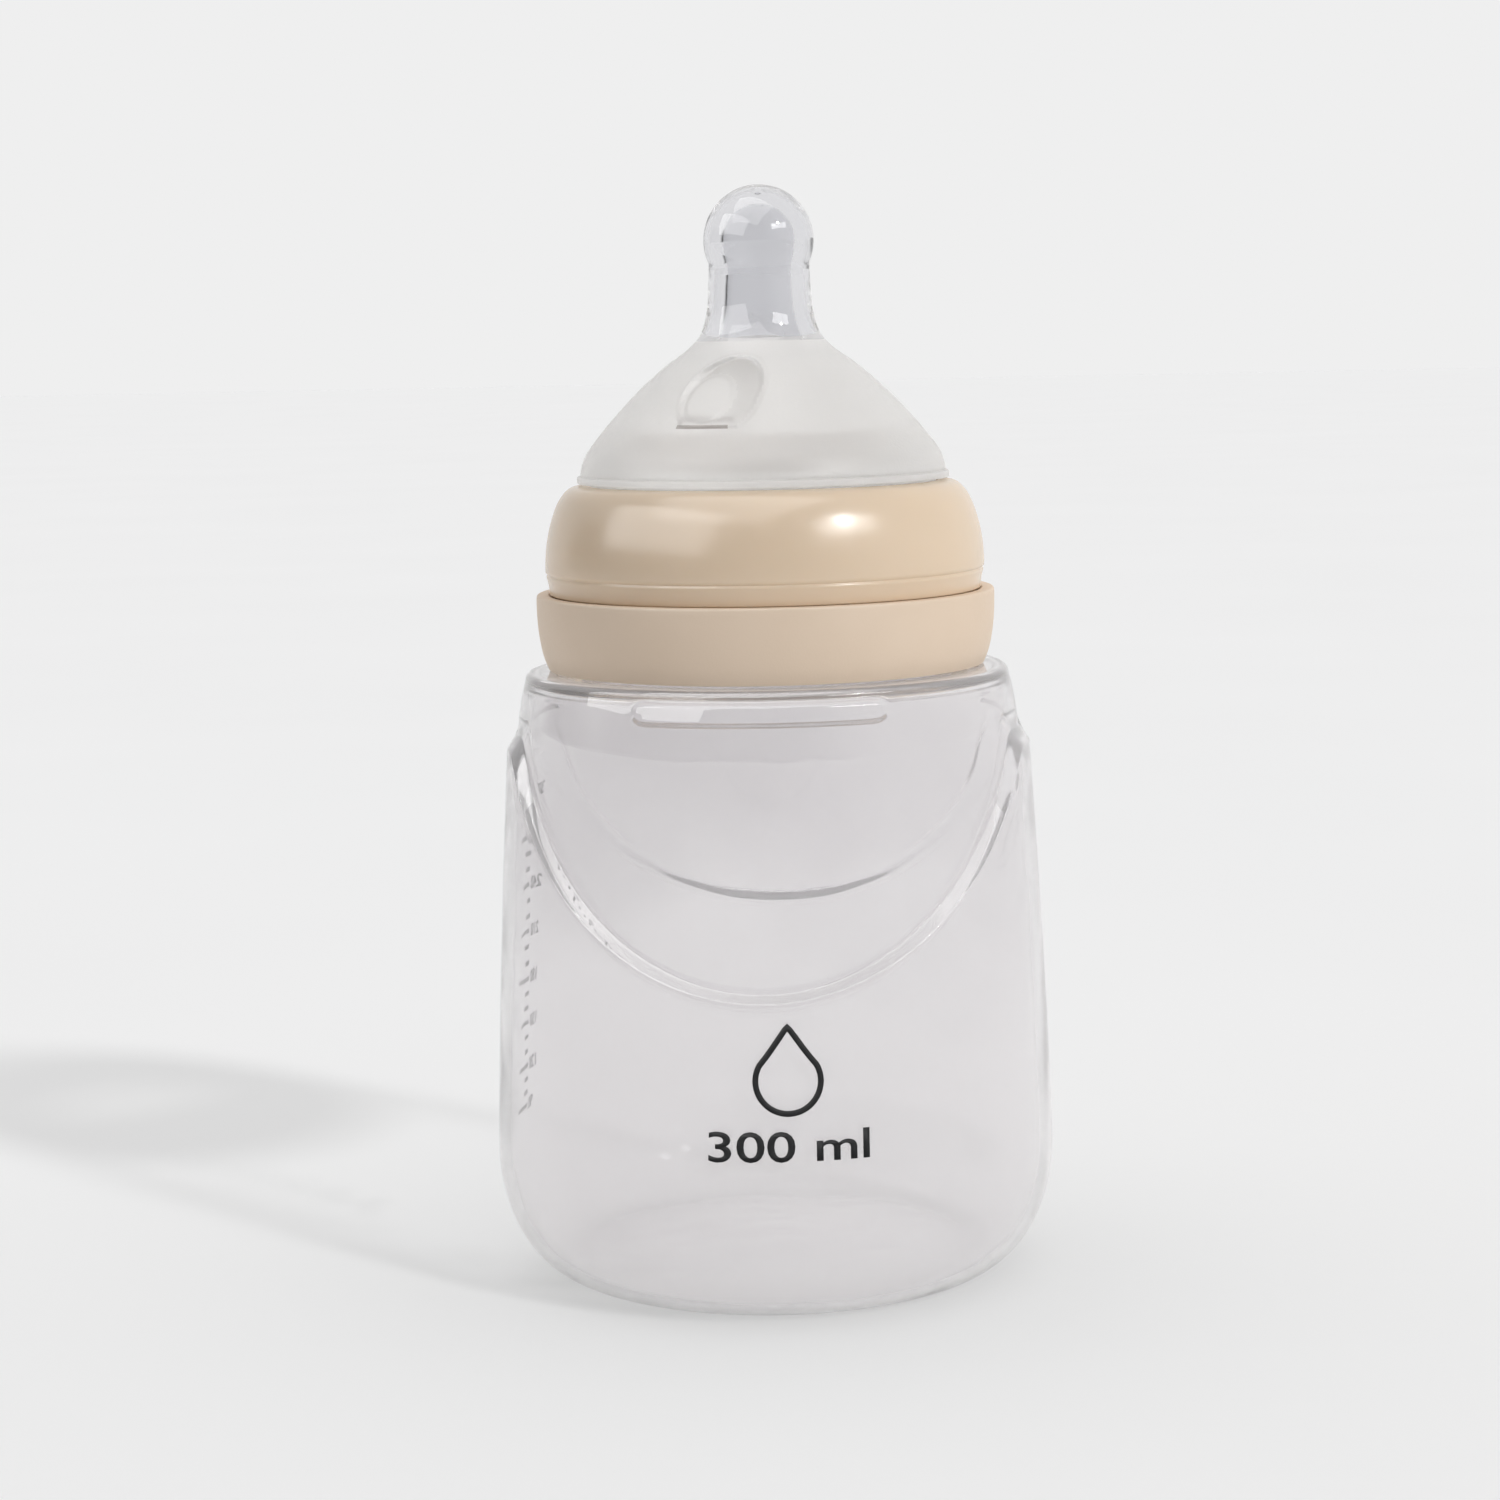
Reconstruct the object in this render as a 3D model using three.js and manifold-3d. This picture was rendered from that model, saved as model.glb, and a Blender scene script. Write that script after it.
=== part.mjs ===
// A wide-neck baby bottle: clear bottle, silicone nipple, screw collar and grip band.
// Units are millimetres, +Z is up, and the origin is the middle of the foot.
import * as THREE from 'three';
import { mergeVertices } from 'three/addons/utils/BufferGeometryUtils.js';
import Module from 'manifold-3d';

const wasm = await Module();
wasm.setup();

// Facets around each round piece.
const BOTTLE_FACETS = 48;
const NIPPLE_FACETS = 36;
const COLLAR_FACETS = 48;

// Bottle wall and foot.
const WALL = 1.6;
const FOOT_RADIUS = 28.8;
const FOOT_CORNER_HEIGHT = 18;
const PUNT_RADIUS = 21;
const PUNT_DEPTH = 0.6;

// Belly: the fuller lower form that reaches up to a ledge on each side.
const BELLY_RADIUS = 40.3;
const BELLY_WALL = [[40.0, 30], [39.1, 46], [38.1, 61], [37.5, 75.2]];
const LEDGE_Z = 78;
const LEDGE_RADIUS = 35;

// Core: the slimmer upper form, bared by the scoop in the front and the back.
const CORE_FOOT_Z = 40;
const CORE_WALL = [[37.3, 40], [36.9, 54], [36.3, 68], [35.8, 79], [35.2, 83.5]];
const SCOOP_CENTRE_Z = 86;
const SCOOP_HALF_WIDTH = 37;
const SCOOP_HALF_HEIGHT = 40;
const SCOOP_FACETS = 26;

// Shoulder and neck.
const SHOULDER_Z = 87;
const SHOULDER_RADIUS = 34.9;
const SHOULDER_ROUND = 1.8;
const NECK_RADIUS = 26.8;
const RIM_Z = 109.3;

// Raised bar on the front and the back of the shoulder.
const BAR_LENGTH = 35;
const BAR_HEIGHT = 2.8;
const BAR_Z = 83.5;
const BAR_RADIUS = 36.1;

// Screw thread: one right-hand start, half a pitch between the neck's and the collar's ridge.
const LEAD = 5;
const THREAD_TURNS = 1.25;
const THREAD_STEPS = 50;
const THREAD_DEPTH = 1.4;
const THREAD_ROOT_HALF_WIDTH = 1.0;
const THREAD_CREST_HALF_WIDTH = 0.55;
const THREAD_BURY = 0.4;
const THREAD_EASE = 0.08;
const NECK_THREAD_Z = 98;
const COLLAR_THREAD_Z = NECK_THREAD_Z - LEAD / 2;

// Gap between pieces that rest on each other.
const GAP = 0.3;

// Collar.
const COLLAR_FOOT_Z = 87.9;
const COLLAR_BORE_RADIUS = 28.8;
const COLLAR_SKIRT_RADIUS = 30.1;
const COLLAR_TOP_Z = 113.4;
const LIP_RADIUS = 24.9;
const LIP_UNDERSIDE_Z = 111.4;

// Grip band around the collar's skirt.
const BAND_FOOT_Z = 87.4;
const BAND_TOP_Z = 98;
const BAND_BORE_RADIUS = COLLAR_SKIRT_RADIUS + GAP;

// Nipple.
const FLANGE_RADIUS = 26.4;
const NIPPLE_BORE_RADIUS = 22.6;
const BEAD_RADIUS = 26.5;
const DOME_OUTLINE = [
  [26.2, 115.6], [24.8, 118.2], [21.5, 122.2], [17.4, 126.5], [13.5, 130],
  [9.9, 132.6], [8.1, 135], [7.35, 138.4], [7.15, 142.4],
];
const DOME_STEPS = 15;
const TEAT_RADIUS = 7.8;
const TEAT_CENTRE_Z = 147.4;
const TEAT_START_DEG = -26;
const TEAT_STEPS = 8;
const NIPPLE_WALL = 1.9;

// Vent valve: a round boss that stands square on the dome.
const VALVE_AZIMUTH_DEG = -107;
const VALVE_AT = [18.2, 125.7];
const VALVE_TILT_DEG = 45;
const VALVE_RADIUS = 5.0;
const VALVE_HEIGHT = 1.6;
const VALVE_PROUD = 0.5;

// Builds a closed solid from a geometry: merges its vertices and drops slivers on the axis.
function solid(geometry) {
  const bare = geometry.clone();
  bare.deleteAttribute('normal');
  bare.deleteAttribute('uv');
  const merged = mergeVertices(bare, 1e-4);
  const index = merged.index.array;
  const triVerts = [];
  for (let i = 0; i < index.length; i += 3) {
    const [a, b, c] = index.slice(i, i + 3);
    if (a !== b && b !== c && c !== a) triVerts.push(a, b, c);
  }
  return new wasm.Manifold(new wasm.Mesh({
    numProp: 3,
    vertProperties: Float32Array.from(merged.attributes.position.array),
    triVerts: Uint32Array.from(triVerts),
  }));
}

// Turns a finished solid into a named mesh.
function meshOf(name, form, material) {
  const result = form.getMesh();
  const geometry = new THREE.BufferGeometry();
  geometry.setAttribute('position', new THREE.BufferAttribute(result.vertProperties, 3));
  geometry.setIndex(new THREE.BufferAttribute(result.triVerts, 1));
  geometry.computeVertexNormals();
  const mesh = new THREE.Mesh(geometry, material);
  mesh.name = name;
  return mesh;
}

// Revolves [radius, height] points about the Z axis.
function turned(points, facets) {
  const outline = points.map(([radius, height]) => new THREE.Vector2(radius, height));
  return solid(new THREE.LatheGeometry(outline, facets).rotateX(Math.PI / 2));
}

// Points of an upright elliptical arc from startDeg to endDeg, measured from the horizontal.
function arc(centre, radii, startDeg, endDeg, steps) {
  const points = [];
  for (let i = 0; i <= steps; i += 1) {
    const angle = THREE.MathUtils.degToRad(startDeg + ((endDeg - startDeg) * i) / steps);
    points.push([centre[0] + radii[0] * Math.cos(angle), centre[1] + radii[1] * Math.sin(angle)]);
  }
  return points;
}

// Belly outline, drawn in from the outer surface by inset.
function bellyOutline(inset) {
  const corner = [BELLY_RADIUS - inset - FOOT_RADIUS, FOOT_CORNER_HEIGHT - inset];
  const ledgeRise = LEDGE_Z - BELLY_WALL[3][1];
  const ledgeRun = BELLY_WALL[3][0] - LEDGE_RADIUS;
  const ledgeCentre = [LEDGE_RADIUS - inset, BELLY_WALL[3][1] - inset];
  return [
    [0, inset],
    ...arc([FOOT_RADIUS, FOOT_CORNER_HEIGHT], corner, -90, 0, 6),
    ...BELLY_WALL.slice(0, 3).map(([radius, z]) => [radius - inset, z]),
    ...arc(ledgeCentre, [ledgeRun, ledgeRise], 0, 90, 3),
    [0, LEDGE_Z - inset],
  ];
}

// Core, shoulder and neck outline; drawn in by inset it runs out through the rim.
function coreOutline(inset) {
  const round = [SHOULDER_RADIUS - SHOULDER_ROUND - inset, SHOULDER_Z - SHOULDER_ROUND - inset];
  return [
    [0, CORE_FOOT_Z],
    ...CORE_WALL.map(([radius, z]) => [radius - inset, z - inset * (z > LEDGE_Z)]),
    ...arc(round, [SHOULDER_ROUND, SHOULDER_ROUND], 0, 90, 3),
    [NECK_RADIUS - inset, SHOULDER_Z - inset],
    [NECK_RADIUS - inset, RIM_Z + inset],
    [0, RIM_Z + inset],
  ];
}

// The oval tunnel, along Y, that scoops the belly's front and back down to the core.
function scoop(inset) {
  const oval = new THREE.Shape();
  oval.absellipse(0, 0, SCOOP_HALF_WIDTH + inset, SCOOP_HALF_HEIGHT + inset, 0, 2 * Math.PI);
  const length = 4 * BELLY_RADIUS;
  const options = { depth: length, bevelEnabled: false, curveSegments: SCOOP_FACETS };
  const tunnel = new THREE.ExtrudeGeometry(oval, options);
  tunnel.rotateX(Math.PI / 2).translate(0, length / 2, SCOOP_CENTRE_Z);
  return solid(tunnel);
}

// The bottle's whole form without thread or bars, drawn in by inset.
function bottleForm(inset) {
  const belly = turned(bellyOutline(inset), BOTTLE_FACETS).subtract(scoop(inset));
  return turned(coreOutline(inset), BOTTLE_FACETS).add(belly);
}

// A bar with round ends that wraps the shoulder; side is -1 for the front, 1 for the back.
function shoulderBar(side) {
  const half = (BAR_LENGTH - BAR_HEIGHT) / 2;
  const round = BAR_HEIGHT / 2;
  const capsule = new THREE.Shape();
  capsule.absarc(half, 0, round, -Math.PI / 2, Math.PI / 2);
  capsule.absarc(-half, 0, round, Math.PI / 2, 1.5 * Math.PI);
  const options = { depth: BAR_RADIUS, bevelEnabled: false, curveSegments: 6 };
  const bar = new THREE.ExtrudeGeometry(capsule, options).rotateX(Math.PI / 2);
  bar.translate(0, side < 0 ? 0 : BAR_RADIUS, BAR_Z);
  const reach = new THREE.CylinderGeometry(BAR_RADIUS, BAR_RADIUS, 2 * BAR_HEIGHT, 2 * BOTTLE_FACETS);
  reach.rotateX(Math.PI / 2).translate(0, 0, BAR_Z);
  return solid(bar).intersect(solid(reach));
}

// A helical ridge on a wall: a long box bent round the Z axis, its ends eased into the wall.
// outward is 1 for a ridge that stands out from the wall and -1 for one that stands in.
function threadRidge(wallRadius, startZ, outward) {
  const sweep = 2 * Math.PI * THREAD_TURNS;
  const ridge = new THREE.BoxGeometry(1, 1, 1, THREAD_STEPS, 1, 1);
  const position = ridge.attributes.position;
  for (let i = 0; i < position.count; i += 1) {
    const along = position.getX(i) + 0.5;
    const crest = position.getZ(i) * outward > 0;
    const ease = Math.min(1, along / THREAD_EASE, (1 - along) / THREAD_EASE);
    const rise = crest ? THREAD_DEPTH * Math.max(ease, 0) : -THREAD_BURY;
    const radius = wallRadius + outward * rise;
    const halfWidth = crest ? THREAD_CREST_HALF_WIDTH : THREAD_ROOT_HALF_WIDTH;
    const z = startZ + LEAD * THREAD_TURNS * along + 2 * position.getY(i) * halfWidth;
    const angle = sweep * along;
    position.setXYZ(i, radius * Math.cos(angle), radius * Math.sin(angle), z);
  }
  return solid(ridge);
}

function bottleBody() {
  const punt = new THREE.CylinderGeometry(PUNT_RADIUS, PUNT_RADIUS, 2 * PUNT_DEPTH, 40);
  const outside = bottleForm(0)
    .add(shoulderBar(-1))
    .add(shoulderBar(1))
    .add(threadRidge(NECK_RADIUS, NECK_THREAD_Z, 1));
  return outside.subtract(bottleForm(WALL)).subtract(solid(punt.rotateX(Math.PI / 2)));
}

// Outer outline of the dome, stem and tip, from the bead up to the axis.
function teatOutline() {
  const dome = new THREE.SplineCurve(DOME_OUTLINE.map(([radius, z]) => new THREE.Vector2(radius, z)));
  const slope = dome.getSpacedPoints(DOME_STEPS).map((point) => [point.x, point.y]);
  const tip = arc([0, TEAT_CENTRE_Z], [TEAT_RADIUS, TEAT_RADIUS], TEAT_START_DEG, 90, TEAT_STEPS);
  return [...slope, ...tip];
}

// Moves an outline's points inwards, square to the outline, by the wall thickness.
function innerOutline(outline) {
  return outline.map(([radius, z], i) => {
    const before = outline[Math.max(i - 1, 0)];
    const after = outline[Math.min(i + 1, outline.length - 1)];
    const along = new THREE.Vector2(after[0] - before[0], after[1] - before[1]).normalize();
    const onAxis = i === outline.length - 1;
    return onAxis
      ? [0, z - NIPPLE_WALL]
      : [radius - along.y * NIPPLE_WALL, z + along.x * NIPPLE_WALL];
  });
}

// The boss of the vent valve, square to the dome.
function ventValve() {
  const boss = new THREE.CylinderGeometry(VALVE_RADIUS, VALVE_RADIUS, VALVE_HEIGHT, 24);
  boss.translate(0, VALVE_PROUD - VALVE_HEIGHT / 2, 0);
  boss.rotateZ(THREE.MathUtils.degToRad(-VALVE_TILT_DEG));
  boss.translate(VALVE_AT[0], VALVE_AT[1], 0);
  boss.rotateX(Math.PI / 2).rotateZ(THREE.MathUtils.degToRad(VALVE_AZIMUTH_DEG));
  return solid(boss);
}

function nipple() {
  const flangeFoot = RIM_Z + GAP;
  const flangeTop = LIP_UNDERSIDE_Z - GAP;
  const beadFoot = COLLAR_TOP_Z + GAP;
  const grooveRadius = LIP_RADIUS - GAP;
  const outer = teatOutline();
  const inner = innerOutline(outer).filter((point, i) => i % 2 === 0 || i > DOME_STEPS);
  const outline = [
    [NIPPLE_BORE_RADIUS, flangeFoot],
    [FLANGE_RADIUS, flangeFoot],
    [FLANGE_RADIUS, flangeTop],
    [grooveRadius, flangeTop],
    [grooveRadius, beadFoot],
    [BEAD_RADIUS - 0.3, beadFoot],
    [BEAD_RADIUS, beadFoot + 0.6],
    ...outer,
    ...inner.reverse(),
    [NIPPLE_BORE_RADIUS, LIP_UNDERSIDE_Z],
    [NIPPLE_BORE_RADIUS, flangeFoot],
  ];
  return turned(outline, NIPPLE_FACETS).add(ventValve());
}

function screwCollar() {
  const outline = [
    [COLLAR_BORE_RADIUS + 0.4, COLLAR_FOOT_Z],
    [COLLAR_SKIRT_RADIUS, COLLAR_FOOT_Z],
    [COLLAR_SKIRT_RADIUS, 98.9],
    [30.8, 99.5],
    [31.2, 100.2],
    [31.3, 102.3],
    [31, 105.2],
    [30.5, 107.8],
    [29.7, 110.2],
    [28.6, 112.1],
    [27.5, 113.1],
    [26, COLLAR_TOP_Z],
    [LIP_RADIUS, COLLAR_TOP_Z],
    [LIP_RADIUS, LIP_UNDERSIDE_Z],
    [27, LIP_UNDERSIDE_Z],
    [27.9, 109],
    [COLLAR_BORE_RADIUS, 105.8],
    [COLLAR_BORE_RADIUS, COLLAR_FOOT_Z + 0.5],
    [COLLAR_BORE_RADIUS + 0.4, COLLAR_FOOT_Z],
  ];
  const ridge = threadRidge(COLLAR_BORE_RADIUS, COLLAR_THREAD_Z, -1);
  return turned(outline, COLLAR_FACETS).add(ridge);
}

function gripBand() {
  const outline = [
    [BAND_BORE_RADIUS, BAND_FOOT_Z],
    [31.1, BAND_FOOT_Z],
    [31.9, 89.4],
    [32.4, 92],
    [32.7, 95.2],
    [32.7, 97.5],
    [32.3, BAND_TOP_Z],
    [BAND_BORE_RADIUS, BAND_TOP_Z],
    [BAND_BORE_RADIUS, BAND_FOOT_Z],
  ];
  return turned(outline, COLLAR_FACETS);
}

function plastic(color, roughness, opacity = 1) {
  return new THREE.MeshStandardMaterial({
    color, roughness, metalness: 0, opacity, transparent: opacity < 1,
  });
}

const bottle = new THREE.Group();
bottle.add(meshOf('bottle_body', bottleBody(), plastic(0xdedce0, 0.12, 0.35)));

const cap = new THREE.Group();
cap.add(meshOf('nipple', nipple(), plastic(0xe6e3df, 0.35, 0.6)));
cap.add(meshOf('screw_collar', screwCollar(), plastic(0xe2ccb0, 0.25)));
cap.add(meshOf('grip_band', gripBand(), plastic(0xdcc4a6, 0.6)));
bottle.add(cap);

export default bottle;
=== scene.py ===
"""A wide-neck baby bottle in a plain studio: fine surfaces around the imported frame."""
import math

import bpy
import numpy as np
from mathutils import Matrix, Vector


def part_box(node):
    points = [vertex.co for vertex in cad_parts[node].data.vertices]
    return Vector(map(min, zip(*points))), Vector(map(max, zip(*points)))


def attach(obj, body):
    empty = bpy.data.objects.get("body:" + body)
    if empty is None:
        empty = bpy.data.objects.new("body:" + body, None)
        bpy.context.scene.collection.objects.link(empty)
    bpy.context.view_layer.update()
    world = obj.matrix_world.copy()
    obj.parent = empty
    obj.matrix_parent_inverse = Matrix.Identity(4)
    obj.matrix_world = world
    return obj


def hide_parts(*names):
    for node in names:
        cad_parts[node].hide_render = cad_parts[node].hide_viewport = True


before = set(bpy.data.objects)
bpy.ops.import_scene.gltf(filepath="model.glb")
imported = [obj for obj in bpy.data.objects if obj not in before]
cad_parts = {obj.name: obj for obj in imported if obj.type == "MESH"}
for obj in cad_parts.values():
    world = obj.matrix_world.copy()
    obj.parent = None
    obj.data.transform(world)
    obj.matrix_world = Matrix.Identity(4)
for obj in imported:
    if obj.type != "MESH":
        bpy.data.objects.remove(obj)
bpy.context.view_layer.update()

MM = 0.001
TURN = 2 * math.pi

# Heights and radii in millimetres, read from the frame.
BODY_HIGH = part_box("bottle_body")[1] / MM
COLLAR_LOW, COLLAR_HIGH = (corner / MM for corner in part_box("screw_collar"))
BAND_LOW, BAND_HIGH = (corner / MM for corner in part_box("grip_band"))
NIPPLE_LOW, NIPPLE_HIGH = (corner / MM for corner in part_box("nipple"))
BELLY_RADIUS = BODY_HIGH.x
RIM_Z = BODY_HIGH.z
BAND_RADIUS = BAND_HIGH.x
TIP_Z = NIPPLE_HIGH.z

# Bottle.
BODY_COLUMNS = 320
WALL = 1.6
FOOT_RADIUS = 28.8
CORNER_HEIGHT = 18.0
PUNT_RADIUS = 24.0
PUNT_DEPTH = 0.6
BELLY_TAPER = 2.85
LEDGE_Z = 77.2
SCOOP_CENTRE_Z = 86.0
SCOOP_HALF_WIDTH = 37.0
SCOOP_HALF_HEIGHT = 40.0
BACK_SCOOP_HALF_HEIGHT = 38.6
STEP_RADIUS = 38.0
STEP_WIDTH = 1.0
STEEPEST_STEP = 3.0
LEDGE_WIDTH = 2.8
LEDGE_EASE_FOOT_Z = 66.0
LEDGE_EASE_HEIGHT = 11.0
FRONT_STEP_SHARE = 0.5
BACK_STEP_SHARE = 0.9
INNER_STEP_SHARE = 1.5
INNER_STEP_DROP = 0.45
CORE_RADIUS = 37.4
CORE_FOOT_Z = 40.0
CORE_TAPER = 1.5
CORE_TAPER_HEIGHT = 39.0
CORE_TOP_Z = 77.0
CORE_TOP_HEIGHT = 9.0
BAR_FOOT_Z = 81.6
SHOULDER_Z = 87.0
SHOULDER_ROUND = 1.1
INNER_SHOULDER_ROUND = 1.3 * SHOULDER_ROUND
NECK_RADIUS = 26.8
BAR_Z = 84.0
BAR_HALF_LENGTH = 16.1
BAR_HALF_HEIGHT = 1.4
BAR_RISE = 0.9
BAR_EDGE = 0.9

# Screw thread, the same on the neck and in the collar.
LEAD = 5.0
THREAD_TURNS = 1.25
THREAD_DEPTH = 1.4
THREAD_HALF_WIDTH = 1.0
THREAD_FLANK = 1.6
THREAD_FADE_TURNS = 0.08
NECK_THREAD_Z = 98.0

# Camera: a long lens a little above the nipple's stem, turned slightly to the bottle's right.
CAMERA_DISTANCE = 0.4714
CAMERA_HEIGHT = 0.135
CAMERA_AZIMUTH_DEG = 2.0
CAMERA_PITCH_DEG = 7.27
CAMERA_PAN_DEG = 0.32
CAMERA_ROLL_DEG = 1.15
LENS_MM = 79.2
SENSOR_MM = 36.0


# ---------------------------------------------------------------- geometry helpers

def smooth(x):
    """Eases 0..1 with level ends."""
    x = np.clip(x, 0.0, 1.0)
    return x * x * (3 - 2 * x)


def spread(start, end, count):
    """count rows from start up to, but not at, end; start and end may hold one value a column."""
    steps = np.linspace(0, 1, count, endpoint=False)
    return [start + (end - start) * s for s in steps]


def arc(centre, radii, start_deg, end_deg, steps):
    """Points along an upright elliptical arc."""
    (x, z), (across, up) = centre, radii
    angles = np.radians(np.linspace(start_deg, end_deg, steps + 1))
    return [(x + across * math.cos(a), z + up * math.sin(a)) for a in angles]


def filleted(corners, steps=5):
    """Rounds each (radius, height, fillet) corner of a closed outline."""
    points = []
    for i, (x, z, fillet) in enumerate(corners):
        here = Vector((x, z))
        before = Vector(corners[i - 1][:2]) - here
        after = Vector(corners[(i + 1) % len(corners)][:2]) - here
        reach = min(fillet, before.length * 0.49, after.length * 0.49)
        if reach <= 0:
            points.append((x, z))
            continue
        start = here + before.normalized() * reach
        end = here + after.normalized() * reach
        for s in np.linspace(0, 1, steps + 1):
            points.append(tuple(start * (1 - s) ** 2 + here * 2 * s * (1 - s) + end * s**2))
    return points


def curve_through(points, steps):
    """Smooth curve through a few points, as a uniform Catmull-Rom spline."""
    p = np.array([points[0], *points, points[-1]], float)
    made = []
    for i in range(1, len(p) - 2):
        for t in np.linspace(0, 1, steps, endpoint=False):
            a = 2 * p[i]
            b = p[i + 1] - p[i - 1]
            c = 2 * p[i - 1] - 5 * p[i] + 4 * p[i + 1] - p[i + 2]
            d = -p[i - 1] + 3 * p[i] - 3 * p[i + 1] + p[i + 2]
            made.append(tuple(0.5 * (a + b * t + c * t**2 + d * t**3)))
    return [*made, tuple(p[-1])]


def resampled(points, spacing):
    """The same open outline with points an even distance apart."""
    p = np.array(points, float)
    along = np.concatenate([[0], np.cumsum(np.hypot(*np.diff(p, axis=0).T))])
    at = np.linspace(0, along[-1], max(2, round(along[-1] / spacing) + 1))
    return list(zip(np.interp(at, along, p[:, 0]), np.interp(at, along, p[:, 1])))


def new_object(name, vertices, faces, material):
    """A smooth-shaded mesh object from vertices in millimetres."""
    mesh = bpy.data.meshes.new(name)
    mesh.from_pydata([tuple(v) for v in np.asarray(vertices) * MM], [], faces)
    mesh.polygons.foreach_set("use_smooth", [True] * len(mesh.polygons))
    mesh.materials.append(material)
    mesh.update()
    piece = bpy.data.objects.new(name, mesh)
    bpy.context.scene.collection.objects.link(piece)
    return piece


def ring_grid(name, radii, heights, material):
    """A closed body of revolution from rows of radii and heights, one value a column in each row.

    The rows run from the outside of the foot over the rim to the inside of the foot. A row whose
    radius is nearly nothing closes on one point on the axis; without such rows the last row joins
    the first.
    """
    columns = radii.shape[1]
    phi = np.arange(columns) * TURN / columns
    vertices, rows = [], []
    for radius, height in zip(radii, heights):
        if radius.max() < 1e-6:
            rows.append([len(vertices)] * columns)
            vertices.append((0.0, 0.0, float(height[0])))
            continue
        first = len(vertices)
        rows.append(list(range(first, first + columns)))
        vertices.extend(zip(radius * np.cos(phi), radius * np.sin(phi), height))
    faces = []
    on_axis = radii[0].max() < 1e-6
    pairs = zip(rows, rows[1:] if on_axis else rows[1:] + rows[:1])
    for low, high in pairs:
        for i in range(columns):
            j = (i + 1) % columns
            face = [low[i], low[j], high[j], high[i]]
            face = [v for k, v in enumerate(face) if v != face[k - 1]]
            if len(face) > 2:
                faces.append(face)
    return new_object(name, vertices, faces, material)


def turned(name, outline, columns, material, relief=None):
    """Revolves a closed outline; relief(phi, radius, height) gives what to add to each radius."""
    phi = np.arange(columns) * TURN / columns
    radii = np.array([[r] * columns for r, _ in outline], float)
    heights = np.array([[z] * columns for _, z in outline], float)
    if relief is not None:
        radii = radii + relief(phi[None, :], radii, heights)
    return ring_grid(name, radii, heights, material)


def thread(phi, heights, start_z):
    """Height of the one-start helical ridge above its wall."""
    turn = phi / TURN
    ridge = np.zeros(np.broadcast(phi, heights).shape)
    for lap in range(math.ceil(THREAD_TURNS)):
        along = turn + lap
        centre = start_z + LEAD * along
        across = 1 - np.abs(heights - centre) / THREAD_HALF_WIDTH
        ends = np.minimum(along / THREAD_FADE_TURNS, (THREAD_TURNS - along) / THREAD_FADE_TURNS)
        ridge = np.maximum(ridge, THREAD_DEPTH * smooth(across * THREAD_FLANK) * smooth(ends))
    return ridge


# ---------------------------------------------------------------- bottle

def belly_radius(z):
    """The belly narrows gently from the top of its foot corner to the ledge."""
    rise = np.clip((z - CORNER_HEIGHT) / (LEDGE_Z - CORNER_HEIGHT), 0, 2)
    return BELLY_RADIUS - BELLY_TAPER * rise**1.3


def core_radius(z):
    """The core narrows a little up to the ledge and more towards the shoulder."""
    rise = np.clip((z - CORE_FOOT_Z) / CORE_TAPER_HEIGHT, 0, 2)
    top = np.clip((z - CORE_TOP_Z) / CORE_TOP_HEIGHT, 0, 2)
    return CORE_RADIUS - CORE_TAPER * rise**1.2 - top**2


def crisp(x):
    """Eases 0..1 in a straight line with tight bends at its ends."""
    bend = 0.16
    x = np.clip(x, 0.0, 1.0)
    from_end = np.minimum(x, 1 - x)
    eased = np.where(from_end < bend, from_end**2 / (2 * bend), from_end - bend / 2) / (1 - bend)
    return np.where(x < 0.5, eased, 1 - eased)


def step_height(phi):
    """Height where the belly steps in to the core: along the scoop's oval, or at the side ledge."""
    across = np.clip(np.abs(STEP_RADIUS * np.cos(phi)) / SCOOP_HALF_WIDTH, 0, 1)
    half_height = np.where(np.sin(phi) > 0, BACK_SCOOP_HALF_HEIGHT, SCOOP_HALF_HEIGHT)
    oval = SCOOP_CENTRE_Z - half_height * np.sqrt(1 - across**2)
    blend = 1.2
    return -blend * np.logaddexp(-oval / blend, -LEDGE_Z / blend)


def step_width(phi):
    """Height of the step's slope, measured upright: more where the step runs steeply."""
    centre = step_height(phi)
    slope = np.gradient(centre, STEP_RADIUS * TURN / len(phi))
    side = smooth((centre - LEDGE_EASE_FOOT_Z) / LEDGE_EASE_HEIGHT)
    width = STEP_WIDTH + (LEDGE_WIDTH - STEP_WIDTH) * side
    return width * np.sqrt(1 + np.minimum(np.abs(slope), STEEPEST_STEP) ** 2)


def bar_relief(phi, radius, height):
    """The raised bar with round ends on the front and the back of the shoulder."""
    from_front = np.abs(np.arctan2(np.abs(np.cos(phi)), np.abs(np.sin(phi))))
    along = np.maximum(from_front * radius - BAR_HALF_LENGTH, 0)
    distance = np.hypot(along, height - BAR_Z)
    return BAR_RISE * smooth((BAR_HALF_HEIGHT - distance) / BAR_EDGE + 0.5)


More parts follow.
